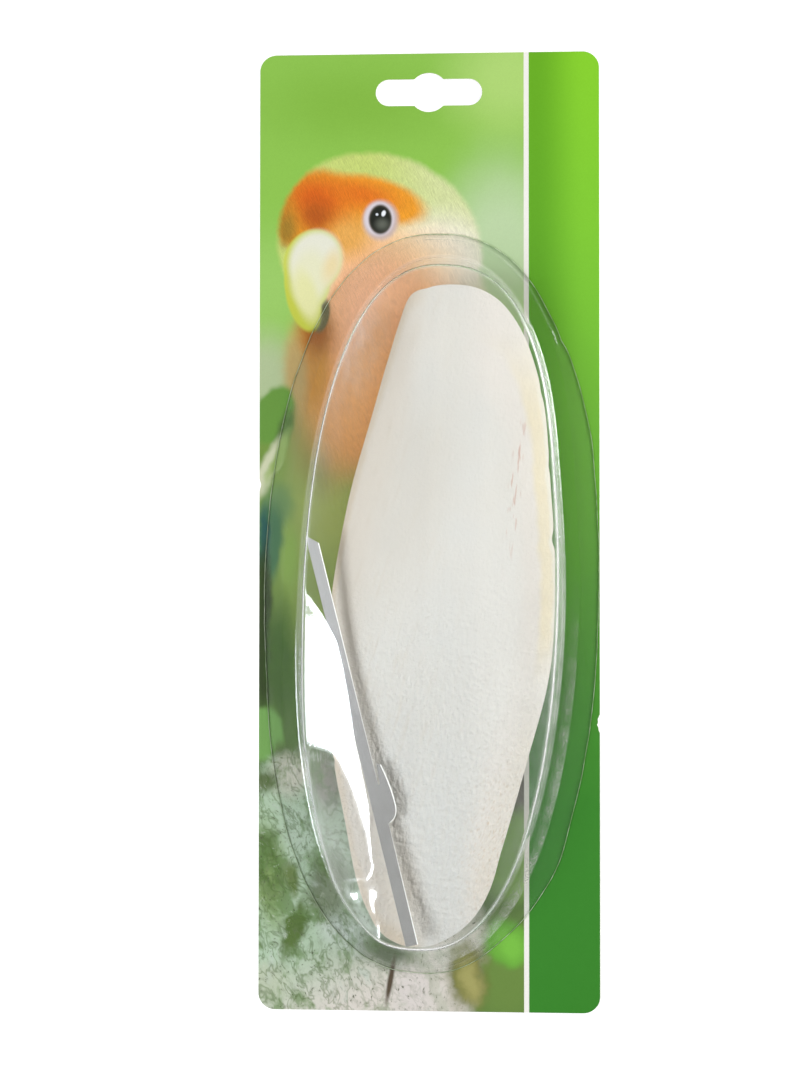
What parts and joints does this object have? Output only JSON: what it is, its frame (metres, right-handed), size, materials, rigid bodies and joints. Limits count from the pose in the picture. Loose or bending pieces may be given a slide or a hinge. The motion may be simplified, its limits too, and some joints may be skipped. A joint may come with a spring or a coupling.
{
  "type": "cuttlebone in a blister pack",
  "caption": "Long oval cuttlebone with a flat steel cage clip, sealed under a clear domed blister on a printed hang card with a hook slot.",
  "frame": {"origin": "middle of the card's back, on the surface the pack lies on", "axes": "+Y along the pack towards the hook slot, +X to the right as the front is read, +Z out of the front, up as it lies"},
  "size_m": [0.102, 0.287, 0.0243],
  "materials": {
    "card": "glossy printed front, plain pale back",
    "blister": "clear formed sheet",
    "cuttlebone": "matt chalky lime with a cream horny rim",
    "clip": "dull zinc-plated sheet with bright cut edges"
  },
  "bodies": {
    "root": {"card": "card", "blister": "blister", "cuttlebone": "cuttlebone", "clip": "clip"}
  },
  "joints": []
}
